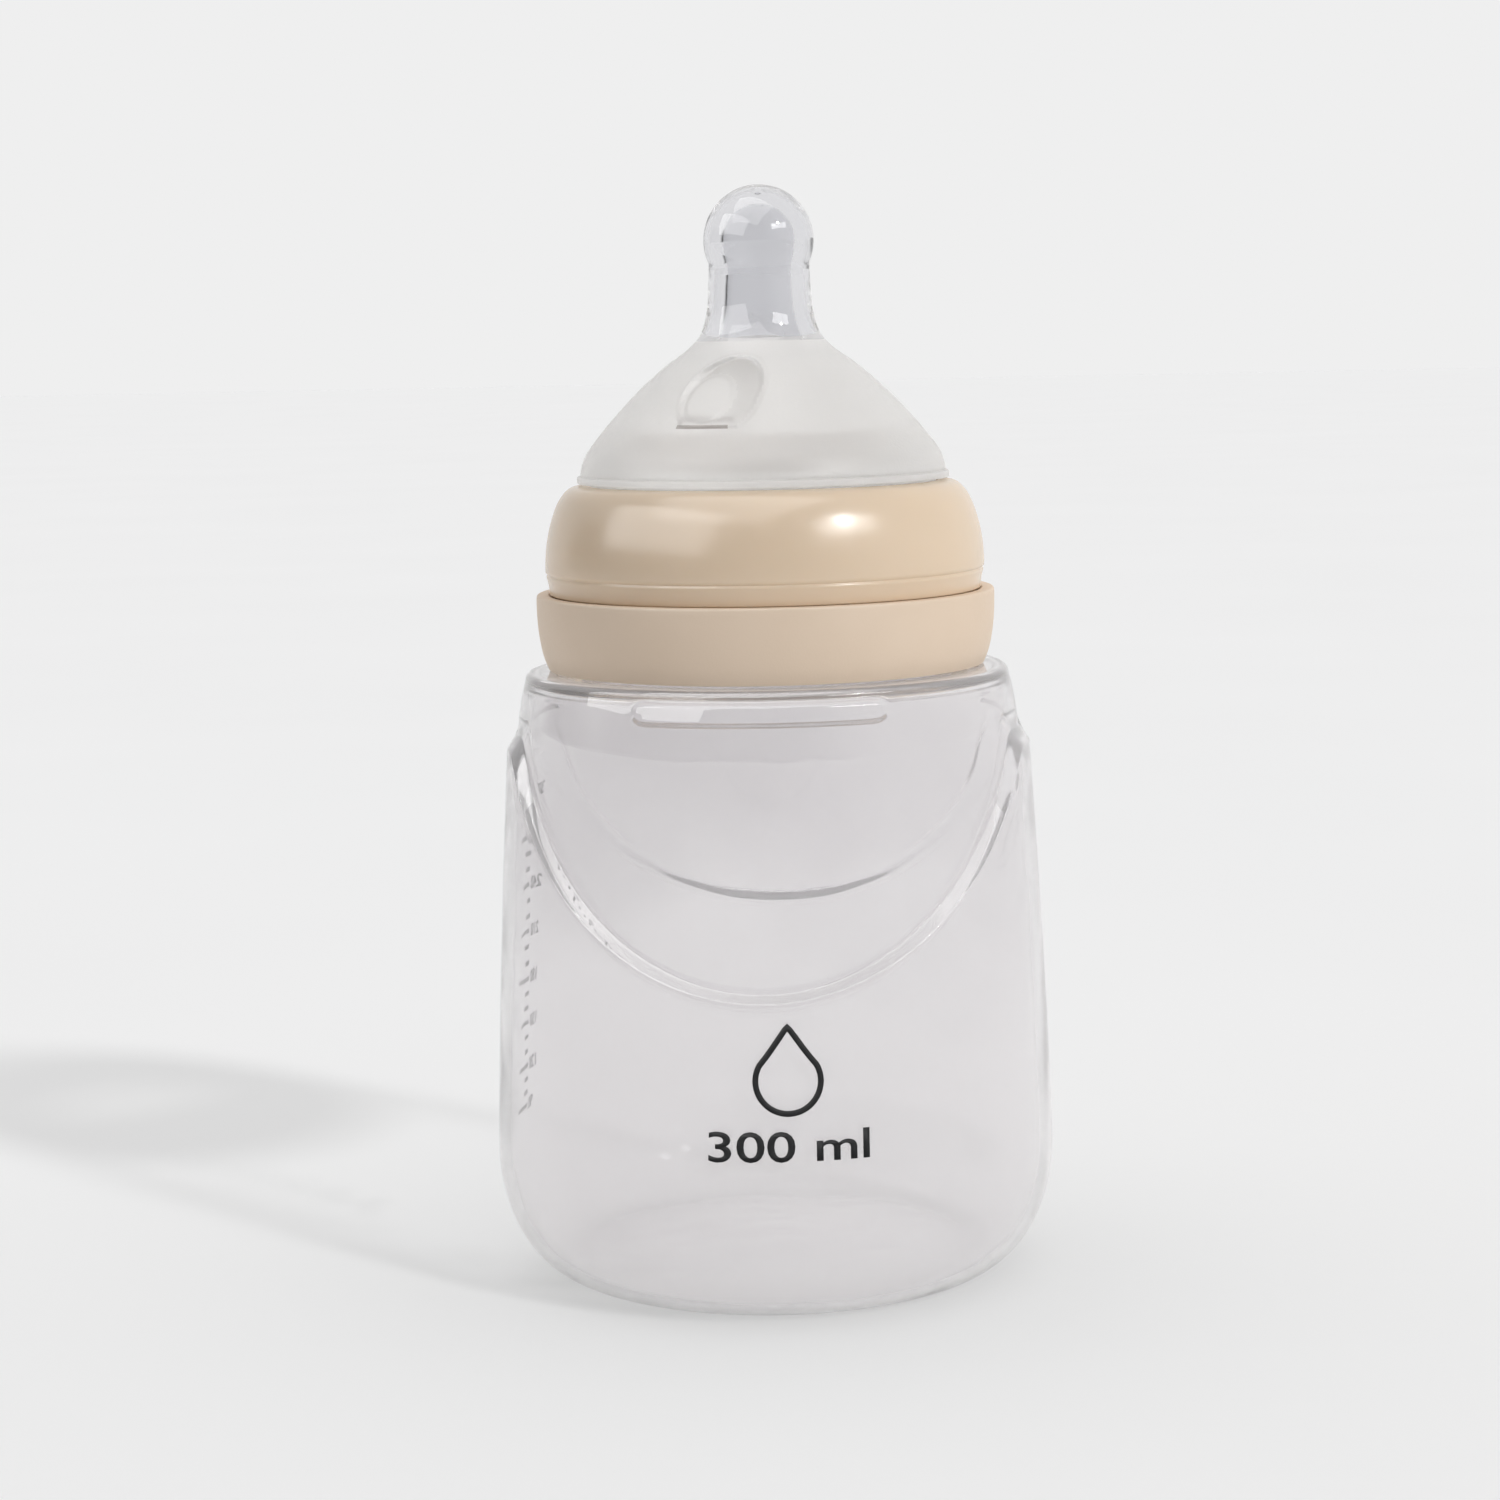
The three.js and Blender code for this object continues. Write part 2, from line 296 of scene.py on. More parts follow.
def body_side(inset):
    """Rows of radii and heights from the axis under the foot up to the rim, drawn in by inset.

    Every row has one radius and one height a column.
    """
    phi = np.arange(BODY_COLUMNS) * TURN / BODY_COLUMNS
    even = np.ones(BODY_COLUMNS)
    outside = inset == 0
    in_front = np.sin(phi) < 0
    share = np.where(in_front, FRONT_STEP_SHARE, BACK_STEP_SHARE) if outside else INNER_STEP_SHARE
    centre = step_height(phi) - INNER_STEP_DROP * inset
    half = step_width(phi) * share
    rows = []

    def level(points):
        rows.extend((r * even, z * even) for r, z in points)

    level([(0, inset + PUNT_DEPTH)])
    for r in np.arange(1.5, PUNT_RADIUS, 1.5):
        level([(r, inset + PUNT_DEPTH * (1 - smooth(r / PUNT_RADIUS)))])
    level([(PUNT_RADIUS + 1, inset), (FOOT_RADIUS - 2, inset)])
    corner = (BELLY_RADIUS - inset - FOOT_RADIUS, CORNER_HEIGHT - inset)
    level(arc((FOOT_RADIUS, CORNER_HEIGHT), corner, -90, 0, 26)[:-1])
    for z in spread(CORNER_HEIGHT * even, centre - half, 46):
        rows.append((belly_radius(z) - inset, z))
    for along in spread(0.0, 1.0, 18):
        z = centre + half * (2 * along - 1)
        blend = np.where(in_front, crisp(along), smooth(along)) if outside else smooth(along)
        rows.append((belly_radius(z) * (1 - blend) + core_radius(z) * blend - inset, z))
    rise = SHOULDER_ROUND if outside else INNER_SHOULDER_ROUND
    shoulder_foot = SHOULDER_Z - inset - rise
    bar_foot = BAR_FOOT_Z - inset
    for z in spread(centre + half, bar_foot * even, 24):
        rows.append((core_radius(z) - inset, z))
    for z in spread(bar_foot * even, shoulder_foot * even, 26):
        relief = bar_relief(phi, core_radius(z), z) if outside else 0
        rows.append((core_radius(z) - inset + relief, z))
    edge = float(core_radius(np.array(shoulder_foot))) - inset
    level(arc((edge - rise, shoulder_foot), (rise, rise), 0, 88, 10))
    neck = NECK_RADIUS - inset
    level([(neck + 4, SHOULDER_Z + 0.1 - inset), (neck + 2, SHOULDER_Z + 0.15 - inset)])
    level(arc((neck + 1, SHOULDER_Z + 1.15 - inset), (1, 1), 270, 180, 6))
    return phi, rows


def bottle_body(material):
    """The clear bottle: outside, threaded neck, rim and inside as one closed skin."""
    phi, outside = body_side(0)
    inside = body_side(WALL)[1]
    even = np.ones(BODY_COLUMNS)
    neck_foot = SHOULDER_Z + 1.6
    for z in np.arange(neck_foot, RIM_Z - 0.5, 0.33):
        outside.append((NECK_RADIUS + thread(phi, z, NECK_THREAD_Z), z * even))
    mid = NECK_RADIUS - WALL / 2
    rim = arc((mid, RIM_Z - 0.6), (WALL / 2, 0.6), 0, 180, 10)
    outside.extend((r * even, z * even) for r, z in rim)
    bore = [(NECK_RADIUS - WALL, z) for z in (RIM_Z - 6, RIM_Z - 14, neck_foot)]
    outside.extend((r * even, z * even) for r, z in bore)
    rows = outside + inside[::-1]
    radii = np.array([r for r, _ in rows])
    heights = np.array([z for _, z in rows])
    return ring_grid("bottle_shell", radii, heights, material)


# ---------------------------------------------------------------- nipple

NIPPLE_COLUMNS = 320
NIPPLE_WALL = 1.9
STEM_EXTRA_WALL = 0.8
STEM_WALL_FOOT_Z = 131.0
STEM_WALL_EASE = 4.0
FLANGE_RADIUS = 26.4
GROOVE_RADIUS = 24.6
NIPPLE_BORE_RADIUS = 22.6
LIP_RADIUS = 26.5
LINING_FOOT_RADIUS = 20.6
TEAT_RADIUS = 7.8
DOME = [
    (26.0, 114.95), (25.7, 116.3), (24.8, 118.2), (21.6, 122.2), (17.5, 126.5), (13.5, 130.0),
    (10.3, 132.3), (8.5, 134.4), (7.6, 137.2), (7.3, 140.2), (7.15, 143.2),
]
FROSTED_TOP_Z = 133.4

# The vent valve, in millimetres round the dome (u) and up it (v) from the valve's middle.
VALVE_AZIMUTH_DEG = -107.0
VALVE_Z = 126.0
VALVE_HALF_WIDTH = 5.7
VALVE_HALF_HEIGHT = 7.6
VALVE_LEAN = 0.14
VALVE_SILL = -5.8
PANE_CENTRE = (-1.3, -0.6)
PANE_HALF_WIDTH = 3.5
PANE_HALF_HEIGHT = 4.6
PANE_RISE = 0.35
PANE_CRISPNESS = 8
FACE_SINK = 0.35
FACE_SLOPE = 0.13
RIM_RISE = 0.3
VALVE_EDGE = 0.5
# Painted shade: where the valve's floor round the pane gets a darker silicone.
SHADE_FROM_PANE = 1.05
SHADE_ABOVE = 2.9
# Painted shade: the band along the valve's sill that gets the dark silicone.
SLIT_CENTRE = -1.2
SLIT_HALF_LENGTH = 3.9
SLIT_HALF_HEIGHT = 0.45
DOME_SKIN_Z = (116.0, 133.0)
DOME_SKIN_RADIUS = 9.0


def valve_plane(phi, radius, height):
    """Each point's place round from (u) and up the dome from (v) the middle of the vent valve."""
    turn = (phi - math.radians(VALVE_AZIMUTH_DEG) + math.pi) % TURN - math.pi
    return turn * radius, (height - VALVE_Z) * math.sqrt(2)


def valve_depth(phi, radius, height):
    """Distance inside the valve's drop-shaped outline, in mm; negative outside it."""
    u, v = valve_plane(phi, radius, height)
    across = (u - VALVE_LEAN * np.maximum(v, 0)) / VALVE_HALF_WIDTH
    inside = (1 - np.hypot(across, v / VALVE_HALF_HEIGHT)) * VALVE_HALF_WIDTH
    return np.minimum(inside, v - VALVE_SILL)


def pane_share(u, v):
    """0 in the middle of the valve's pane, 1 at its edge."""
    across = (u - PANE_CENTRE[0]) / PANE_HALF_WIDTH
    up = (v - PANE_CENTRE[1]) / PANE_HALF_HEIGHT
    return np.hypot(across, up)


def valve_relief(phi, radius, height):
    """The vent valve: a face steeper than the dome, proud at its sill, sunk at its top."""
    u, v = valve_plane(phi, radius, height)
    depth = valve_depth(phi, radius, height)
    face = -FACE_SINK - FACE_SLOPE * v
    face = face + PANE_RISE * smooth((1 - pane_share(u, v)) * PANE_CRISPNESS)
    rim = RIM_RISE * smooth(1 - np.abs(depth) / VALVE_EDGE)
    return (face * smooth(depth / VALVE_EDGE) + rim) * math.sqrt(2)


def nipple_finish(mesh):
    """Each face's finish: 0 frosted, 1 clear, 2 painted shade on the floor round the pane, 3
    painted shade along the valve's slit.
    """
    x, y, z = (np.array([polygon.center for polygon in mesh.polygons]) / MM).T
    radius = np.hypot(x, y)
    phi = np.arctan2(y, x)
    u, v = valve_plane(phi, radius, z)
    on_dome = (z > DOME_SKIN_Z[0]) & (z < DOME_SKIN_Z[1]) & (radius > DOME_SKIN_RADIUS)
    inside = on_dome & (valve_depth(phi, radius, z) > 0)
    # Painted shade on the valve's floor above and right of the pane.
    painted_shade = inside & (pane_share(u, v) > SHADE_FROM_PANE) & ((v > SHADE_ABOVE) | (u > 0))
    at_sill = np.abs(v - VALVE_SILL) < SLIT_HALF_HEIGHT
    # Painted shade along the valve's sill.
    slit_shade_mask = on_dome & at_sill & (np.abs(u - SLIT_CENTRE) < SLIT_HALF_LENGTH)
    return np.where(slit_shade_mask, 3, np.where(painted_shade, 2, np.where(z > FROSTED_TOP_Z, 1, 0)))


def nipple_teat(frosted, clear, painted_shade, slit_shade):
    """One silicone moulding: flange, groove, lip, dome with its valve, stem and ball tip."""
    foot, groove_top = NIPPLE_LOW.z, COLLAR_HIGH.z + 0.3
    base = filleted([
        (NIPPLE_BORE_RADIUS, foot, 0.5),
        (FLANGE_RADIUS, foot, 0.6),
        (FLANGE_RADIUS, foot + 1.5, 0.5),
        (GROOVE_RADIUS, foot + 1.5, 0.3),
        (GROOVE_RADIUS, groove_top, 0.3),
        (LIP_RADIUS, groove_top, 0.2),
        (LIP_RADIUS, groove_top + 0.9, 0.25),
        (LIP_RADIUS - 0.6, groove_top + 1.05, 0.1),
        (DOME[0][0], groove_top + 1.2, 0),
        (NIPPLE_BORE_RADIUS, groove_top + 1.2, 0),
    ])[:-2]
    dome = resampled(curve_through(DOME, 6), 0.33)
    ball = arc((0, TIP_Z - TEAT_RADIUS), (TEAT_RADIUS, TEAT_RADIUS), -24, 90, 34)[:-1]
    skin = np.array(dome + ball)
    along = np.gradient(skin, axis=0)
    inward = np.column_stack([-along[:, 1], along[:, 0]]) / np.hypot(*along.T)[:, None]
    stem = smooth((skin[::3, 1:] - STEM_WALL_FOOT_Z) / STEM_WALL_EASE)
    wall = NIPPLE_WALL + STEM_EXTRA_WALL * stem
    lining = skin[::3] + wall * inward[::3]
    lining = [(np.clip(r, 0.05, LINING_FOOT_RADIUS), z) for r, z in lining]
    outline = base + dome + ball + [(0.0, TIP_Z), (0.0, TIP_Z - NIPPLE_WALL)] + lining[::-1]
    outline.append((NIPPLE_BORE_RADIUS, groove_top + 1.6))
    first, last = len(base), len(base) + len(dome)

    def relief(phi, radii, heights):
        added = np.zeros(radii.shape)
        added[first:last] = valve_relief(phi, radii[first:last], heights[first:last])
        return added

    piece = turned("nipple_teat", outline, NIPPLE_COLUMNS, frosted, relief)
    mesh = piece.data
    for material in (clear, painted_shade, slit_shade):
        mesh.materials.append(material)
    mesh.polygons.foreach_set("material_index", nipple_finish(mesh))
    mesh.update()
    return piece


# ---------------------------------------------------------------- collar and band

COLLAR_COLUMNS = 256
COLLAR_THREAD_Z = 95.5
COLLAR_BORE_RADIUS = 28.8
COLLAR_LIP_RADIUS = 24.9
COLLAR_SKIRT_RADIUS = 30.1
COLLAR_THREAD_SHARE = 0.85
COLLAR_CROWN = [
    (31.3, 101.2), (31.3, 102.6), (31.05, 105.2), (30.5, 107.8), (29.7, 110.2), (28.75, 111.9),
    (27.6, 113.0), (26.2, 113.4),
]


def screw_ring(material):
    """The glossy screw collar: crown, crease and foot above the band, thread inside."""
    low, high = COLLAR_LOW.z, COLLAR_HIGH.z
    skirt = filleted([
        (COLLAR_BORE_RADIUS, low, 0.3),
        (COLLAR_SKIRT_RADIUS, low, 0.3),
        (COLLAR_SKIRT_RADIUS, BAND_HIGH.z - 0.3, 0.1),
        (30.75, BAND_HIGH.z + 0.1, 0.1),
        (30.95, 99.7, 0.4),
        (31.2, 100.6, 0.4),
        (31.0, 100.95, 0.12),
        (31.3, 101.2, 0.0),
        (COLLAR_BORE_RADIUS, 101.2, 0.0),
    ])[:-2]
    crown = resampled(curve_through(COLLAR_CROWN, 6), 0.35)
    top = filleted([
        (26.2, high, 0),
        (COLLAR_LIP_RADIUS, high, 0.3),
        (COLLAR_LIP_RADIUS, high - 2, 0.3),
        (27.0, high - 2, 0.3),
        (27.9, 109.0, 0.8),
        (COLLAR_BORE_RADIUS, 105.8, 0.8),
        (COLLAR_BORE_RADIUS, 104.5, 0),
        (26.2, 104.5, 0),
    ])[1:-1]
    bore = [(COLLAR_BORE_RADIUS, z) for z in np.arange(104.2, low + 1, -0.4)]
    outline = skirt + crown + top + bore
    first = len(skirt) + len(crown) + len(top)

    def relief(phi, radii, heights):
        added = np.zeros(radii.shape)
        added[first:] = -COLLAR_THREAD_SHARE * thread(phi, heights[first:], COLLAR_THREAD_Z)
        return added

    return turned("screw_ring", outline, COLLAR_COLUMNS, material, relief)


def soft_band(material):
    """The matt band round the foot of the collar, with a rounded top edge."""
    low, high = BAND_LOW.z, BAND_HIGH.z
    side = curve_through(
        [(31.15, low), (31.9, 89.4), (32.4, 92.0), (32.65, 94.6), (BAND_RADIUS, high - 0.8)], 8
    )
    outline = filleted([
        (30.4, low, 0.2),
        (31.15, low, 0.25),
        *[(x, z, 0) for x, z in side[1:]],
        (BAND_RADIUS - 0.05, high, 0.6),
        (31.0, high, 0.1),
        (30.4, high - 0.4, 0.1),
    ])
    return turned("soft_band", outline, COLLAR_COLUMNS, material)


# ---------------------------------------------------------------- prints

INK_DEPTH = 0.05
INK_SUNK = 0.05


def on_belly(u, z, azimuth, proud):
    """The point u round from that azimuth and z up, on the belly's outside plus proud."""
    radius = float(belly_radius(np.array(z)))
    phi = azimuth + u / radius
    return ((radius + proud) * math.cos(phi), (radius + proud) * math.sin(phi), z)


def wrapped(name, vertices, faces, azimuth, material):
    """A thin closed solid on the belly from flat outlines; faces are in (u, z)."""
    count = len(vertices)
    solid = [on_belly(u, z, azimuth, INK_DEPTH) for u, z in vertices]
    solid += [on_belly(u, z, azimuth, -INK_SUNK) for u, z in vertices]
    sides, edges = [], {}
    for face in faces:
        for a, b in zip(face, face[1:] + face[:1]):
            edges[(a, b)] = True
    for a, b in edges:
        if (b, a) not in edges:
            sides.append([b, a, a + count, b + count])
    backs = [[v + count for v in reversed(face)] for face in faces]
    return new_object(name, solid, [*faces, *backs, *sides], material)


def ribbon(points, width, closed=False):
    """A flat line of that width through the points, square at its ends."""
    p = np.array(points, float)
    if closed:
        along = np.roll(p, -1, axis=0) - np.roll(p, 1, axis=0)
    else:
        along = np.gradient(p, axis=0)
    across = np.column_stack([along[:, 1], -along[:, 0]]) / np.hypot(*along.T)[:, None]
    right, left = p + across * width / 2, p - across * width / 2
    vertices = [tuple(v) for pair in zip(left, right) for v in pair]
    count = len(p)
    faces = []
    for i in range(count if closed else count - 1):
        j = (i + 1) % count
        faces.append([2 * i, 2 * i + 1, 2 * j + 1, 2 * j])
    return vertices, faces


def lettering(text, height, across, bold=0.0):
    """Flat outlines of a few characters in the built-in face, starting at (0, 0)."""
    curve = bpy.data.curves.new("lettering", "FONT")
    curve.body = text
    curve.resolution_u = 4
    curve.offset = bold
    holder = bpy.data.objects.new("lettering", curve)
    bpy.context.scene.collection.objects.link(holder)
    graph = bpy.context.evaluated_depsgraph_get()
    mesh = bpy.data.meshes.new_from_object(holder.evaluated_get(graph))
    points = np.array([v.co[:2] for v in mesh.vertices])
    faces = [list(p.vertices) for p in mesh.polygons]
    facing = [p.normal.z for p in mesh.polygons]
    bpy.data.objects.remove(holder)
    bpy.data.curves.remove(curve)
    bpy.data.meshes.remove(mesh)
    low, high = points.min(axis=0), points.max(axis=0)
    points = (points - low) * [across / (high[0] - low[0]), height / (high[1] - low[1])]
    faces = [f if n > 0 else f[::-1] for f, n in zip(faces, facing)]
    return [tuple(p) for p in points], faces


def joined(parts):
    """Several (vertices, faces, (du, dz)) outlines as one."""
    vertices, faces = [], []
    for outline, polygons, (du, dz) in parts:
        first = len(vertices)
        vertices += [(u + du, z + dz) for u, z in outline]
        faces += [[v + first for v in face] for face in polygons]
    return vertices, faces


SCALE_MAJOR_Z = [21.0, 27.2, 33.7, 40.4, 47.4, 54.5, 61.5, 68.4]
SCALE_FIRST_ML = 90
SCALE_STEP_ML = 30
SCALE_AZIMUTH_DEG = 167.0
MAJOR_LENGTH = 5.6
MINOR_LENGTH = 2.4
NUMBER_HEIGHT = 2.0
DIGIT_WIDTH = 1.15
LINE_WIDTH = 0.7
MINOR_STEPS = 3
NUMBER_GAP = 0.8
NUMBER_BOLD = 0.02


def scale_print(material):
    """Graduations and their numbers on the side, read from outside."""
    parts = []
    for i, z in enumerate(SCALE_MAJOR_Z):
        parts.append((*ribbon([(0, 0), (MAJOR_LENGTH, 0)], LINE_WIDTH), (0, z)))
        if i + 1 < len(SCALE_MAJOR_Z):
            gap = (SCALE_MAJOR_Z[i + 1] - z) / MINOR_STEPS
            for k in range(1, MINOR_STEPS):
                parts.append((*ribbon([(0, 0), (MINOR_LENGTH, 0)], LINE_WIDTH), (0, z + k * gap)))
        number = str(SCALE_FIRST_ML + SCALE_STEP_ML * i)
        width = DIGIT_WIDTH * len(number)
        outline = lettering(number, NUMBER_HEIGHT, width, NUMBER_BOLD)
        parts.append((*outline, (-NUMBER_GAP - width, z - NUMBER_HEIGHT / 2)))
    vertices, faces = joined(parts)
    return wrapped("scale_print", vertices, faces, math.radians(SCALE_AZIMUTH_DEG), material)


FRONT_AZIMUTH_DEG = -85.4
DROP_Z = 35.2
DROP_RADIUS = 4.4
DROP_TIP = 7.4
DROP_HOLLOW = 0.15
DROP_LINE_WIDTH = 0.8
CAPACITY = f"{SCALE_FIRST_ML + SCALE_STEP_ML * (len(SCALE_MAJOR_Z) - 1)} ml"
TEXT_Z = 24.2
TEXT_HEIGHT = 4.2
TEXT_WIDTH = 22.0
TEXT_BOLD = 0.01


def front_print(material):
    """A plain drop outline above the bottle's capacity."""
    loop = [(DROP_RADIUS * math.cos(a), DROP_RADIUS * math.sin(a))
            for a in np.radians(np.linspace(150, 390, 40))]
    x, y = loop[-1]
    right = [(x * (1 - s) * (1 - DROP_HOLLOW * s * (1 - s)), y + (DROP_TIP - y) * s)
             for s in np.linspace(0, 1, 14)[1:]]
    left = [(-x, y) for x, y in reversed(right[:-1])]
    drop = ribbon(loop + right + left, DROP_LINE_WIDTH, closed=True)
    text = lettering(CAPACITY, TEXT_HEIGHT, TEXT_WIDTH, TEXT_BOLD)
    vertices, faces = joined([(*drop, (0, DROP_Z)), (*text, (-TEXT_WIDTH / 2, TEXT_Z))])
    return wrapped("front_print", vertices, faces, math.radians(FRONT_AZIMUTH_DEG), material)


# ---------------------------------------------------------------- materials

PLASTIC_IOR = 1.5
SILICONE_IOR = 1.41
# Painted light: the heights over which the bottle's tint grows paler towards the foot.
PAINTED_LIGHT_FROM_Z = 65.0
PAINTED_LIGHT_BY_Z = 30.0


def material_nodes(name):
    """A new material with its node tree and its Principled shader."""
    material = bpy.data.materials.new(name)
    material.use_nodes = True
    tree = material.node_tree
    return material, tree, tree.nodes["Principled BSDF"]


def noise(tree, scale, detail=2.0):
    """Noise in the piece's own coordinates; scale is in cycles a metre."""
    place = tree.nodes.new("ShaderNodeTexCoord")
    made = tree.nodes.new("ShaderNodeTexNoise")
    made.inputs["Scale"].default_value = scale
    made.inputs["Detail"].default_value = detail
    tree.links.new(place.outputs["Object"], made.inputs["Vector"])
    return made.outputs["Fac"]


def varied(tree, source, target, low, high):
    """Spreads a 0..1 pattern over low..high into that socket."""
    ramp = tree.nodes.new("ShaderNodeMapRange")
    ramp.inputs["From Min"].default_value = 0.3
    ramp.inputs["From Max"].default_value = 0.7
    ramp.inputs["To Min"].default_value = low
    ramp.inputs["To Max"].default_value = high
    tree.links.new(source, ramp.inputs["Value"])
    tree.links.new(ramp.outputs["Result"], target)


def coloured(tree, source, target, low, high):
    """Runs a 0..1 pattern between two linear colours into that socket."""
    ramp = tree.nodes.new("ShaderNodeValToRGB")
    ramp.color_ramp.elements[0].position = 0.3
    ramp.color_ramp.elements[0].color = (*low, 1)
    ramp.color_ramp.elements[1].position = 0.7
    ramp.color_ramp.elements[1].color = (*high, 1)
    tree.links.new(source, ramp.inputs["Fac"])
    tree.links.new(ramp.outputs["Color"], target)


def bumped(tree, shader, source, height):
    """Relief of that height in metres from a 0..1 pattern."""
    bump = tree.nodes.new("ShaderNodeBump")
    bump.inputs["Strength"].default_value = 1.0
    bump.inputs["Distance"].default_value = height
    tree.links.new(source, bump.inputs["Height"])
    tree.links.new(bump.outputs["Normal"], shader.inputs["Normal"])


def lets_light_through(tree, shader, square_on, grazing):
    """Light on its way to or from matt surfaces crosses straight, dimmed where it grazes."""
    path = tree.nodes.new("ShaderNodeLightPath")
    soft = tree.nodes.new("ShaderNodeMath")
    soft.operation = "MAXIMUM"
    tree.links.new(path.outputs["Is Shadow Ray"], soft.inputs[0])
    tree.links.new(path.outputs["Is Diffuse Ray"], soft.inputs[1])
    clear = tree.nodes.new("ShaderNodeBsdfTransparent")
    slant = tree.nodes.new("ShaderNodeLayerWeight")
    slant.inputs["Blend"].default_value = 0.5
    coloured(tree, slant.outputs["Facing"], clear.inputs["Color"], square_on, grazing)
    mix = tree.nodes.new("ShaderNodeMixShader")
    tree.links.new(soft.outputs["Value"], mix.inputs["Fac"])
    tree.links.new(shader.outputs["BSDF"], mix.inputs[1])
    tree.links.new(clear.outputs["BSDF"], mix.inputs[2])
    out = tree.nodes["Material Output"]
    tree.links.new(mix.outputs["Shader"], out.inputs["Surface"])


def clear_bottle():
    """Clear moulded plastic, a little wavy, with painted light that makes it paler from the middle
    down.
    """
    material, tree, shader = material_nodes("clear_bottle")
    shader.inputs["Transmission Weight"].default_value = 0.85
    shader.inputs["IOR"].default_value = PLASTIC_IOR
    place = tree.nodes.new("ShaderNodeTexCoord")
    height = tree.nodes.new("ShaderNodeSeparateXYZ")
    tree.links.new(place.outputs["Object"], height.inputs["Vector"])
    # Painted light: paler lower down, standing in for light coming through the lower body; the
    # noise added to it is the plastic's own uneven tone.
    rise = tree.nodes.new("ShaderNodeMapRange")
    rise.inputs["From Min"].default_value = PAINTED_LIGHT_FROM_Z * MM
    rise.inputs["From Max"].default_value = PAINTED_LIGHT_BY_Z * MM
    rise.inputs["To Min"].default_value = -0.1
    rise.inputs["To Max"].default_value = 0.4
    tree.links.new(height.outputs["Z"], rise.inputs["Value"])
    mottle_and_painted_light = tree.nodes.new("ShaderNodeMath")
    mottle_and_painted_light.operation = "ADD"
    tree.links.new(rise.outputs["Result"], mottle_and_painted_light.inputs[0])
    tree.links.new(noise(tree, 35), mottle_and_painted_light.inputs[1])
    tint = shader.inputs["Base Color"]
    coloured(tree, mottle_and_painted_light.outputs["Value"], tint, (.885, .867, .877), (.95, .935, .942))
    varied(tree, noise(tree, 90, 4), shader.inputs["Roughness"], 0.008, 0.028)
    bumped(tree, shader, noise(tree, 50), 0.0002)
    lets_light_through(tree, shader, (.99, .99, .99), (.80, .80, .80))
    return material


def frosted_silicone():
    """Silicone from a sand-blasted mould: it scatters what is behind it."""
    material, tree, shader = material_nodes("frosted_silicone")
    shader.inputs["Transmission Weight"].default_value = 0.62
    shader.inputs["IOR"].default_value = SILICONE_IOR
    tint = shader.inputs["Base Color"]
    coloured(tree, noise(tree, 50), tint, (.885, .87, .855), (.915, .90, .885))
    varied(tree, noise(tree, 1500, 3), shader.inputs["Roughness"], 0.38, 0.52)
    bumped(tree, shader, noise(tree, 2600), 0.00003)
    lets_light_through(tree, shader, (.86, .86, .85), (.7, .7, .7))
    return material


def sunk_silicone():
    """Painted shade: a darker silicone on the floor round the valve's pane, where its top and right
    side lie in shade.
    """
    material, tree, shader = material_nodes("sunk_silicone")
    shader.inputs["Transmission Weight"].default_value = 0.6
    shader.inputs["IOR"].default_value = SILICONE_IOR
    tint = shader.inputs["Base Color"]
    coloured(tree, noise(tree, 300), tint, (.83, .815, .80), (.85, .835, .82))
    varied(tree, noise(tree, 1500, 3), shader.inputs["Roughness"], 0.38, 0.48)
    return material


def slit_silicone():
    """Painted shade: a dark silicone along the valve's sill, standing for the shaded slit there."""
    material, tree, shader = material_nodes("slit_silicone")
    shader.inputs["Transmission Weight"].default_value = 0.3
    shader.inputs["IOR"].default_value = SILICONE_IOR
    coloured(tree, noise(tree, 400), shader.inputs["Base Color"], (.36, .32, .30), (.44, .40, .38))
    varied(tree, noise(tree, 1500, 3), shader.inputs["Roughness"], 0.4, 0.5)
    return material


def clear_silicone():
    """Silicone from a polished mould: glossy and clear, a little uneven."""
    material, tree, shader = material_nodes("clear_silicone")
    shader.inputs["Transmission Weight"].default_value = 1.0
    shader.inputs["IOR"].default_value = SILICONE_IOR
    coloured(tree, noise(tree, 60), shader.inputs["Base Color"], (.79, .79, .81), (.82, .82, .84))
    varied(tree, noise(tree, 300, 3), shader.inputs["Roughness"], 0.02, 0.06)
    bumped(tree, shader, noise(tree, 220), 0.00008)
    lets_light_through(tree, shader, (.94, .94, .94), (.7, .7, .7))
    return material


def glossy_collar():
    """Cream plastic with a soft gloss."""
    material, tree, shader = material_nodes("glossy_collar")
    coloured(tree, noise(tree, 40), shader.inputs["Base Color"], (.735, .58, .42), (.765, .61, .45))
    varied(tree, noise(tree, 500, 3), shader.inputs["Roughness"], 0.19, 0.26)
    shader.inputs["Subsurface Weight"].default_value = 0.12
    shader.inputs["Subsurface Radius"].default_value = (1.0, 0.7, 0.45)
    shader.inputs["Subsurface Scale"].default_value = 0.0015
    bumped(tree, shader, noise(tree, 120), 0.00002)
    return material


def matt_band():
    """The same cream in a fine-grained matt finish."""
    material, tree, shader = material_nodes("matt_band")
    coloured(tree, noise(tree, 45), shader.inputs["Base Color"], (.73, .58, .44), (.77, .62, .48))
    varied(tree, noise(tree, 1800, 4), shader.inputs["Roughness"], 0.45, 0.6)
    bumped(tree, shader, noise(tree, 3500, 3), 0.00002)
    return material


def print_ink():
    """Black pad-print ink, slightly uneven."""
    material, tree, shader = material_nodes("print_ink")
    tint = shader.inputs["Base Color"]
    coloured(tree, noise(tree, 900, 4), tint, (.010, .010, .011), (.020, .020, .021))
    varied(tree, noise(tree, 1200, 3), shader.inputs["Roughness"], 0.5, 0.65)
    shader.inputs["Specular IOR Level"].default_value = 0.25
    return material


# ---------------------------------------------------------------- the pieces

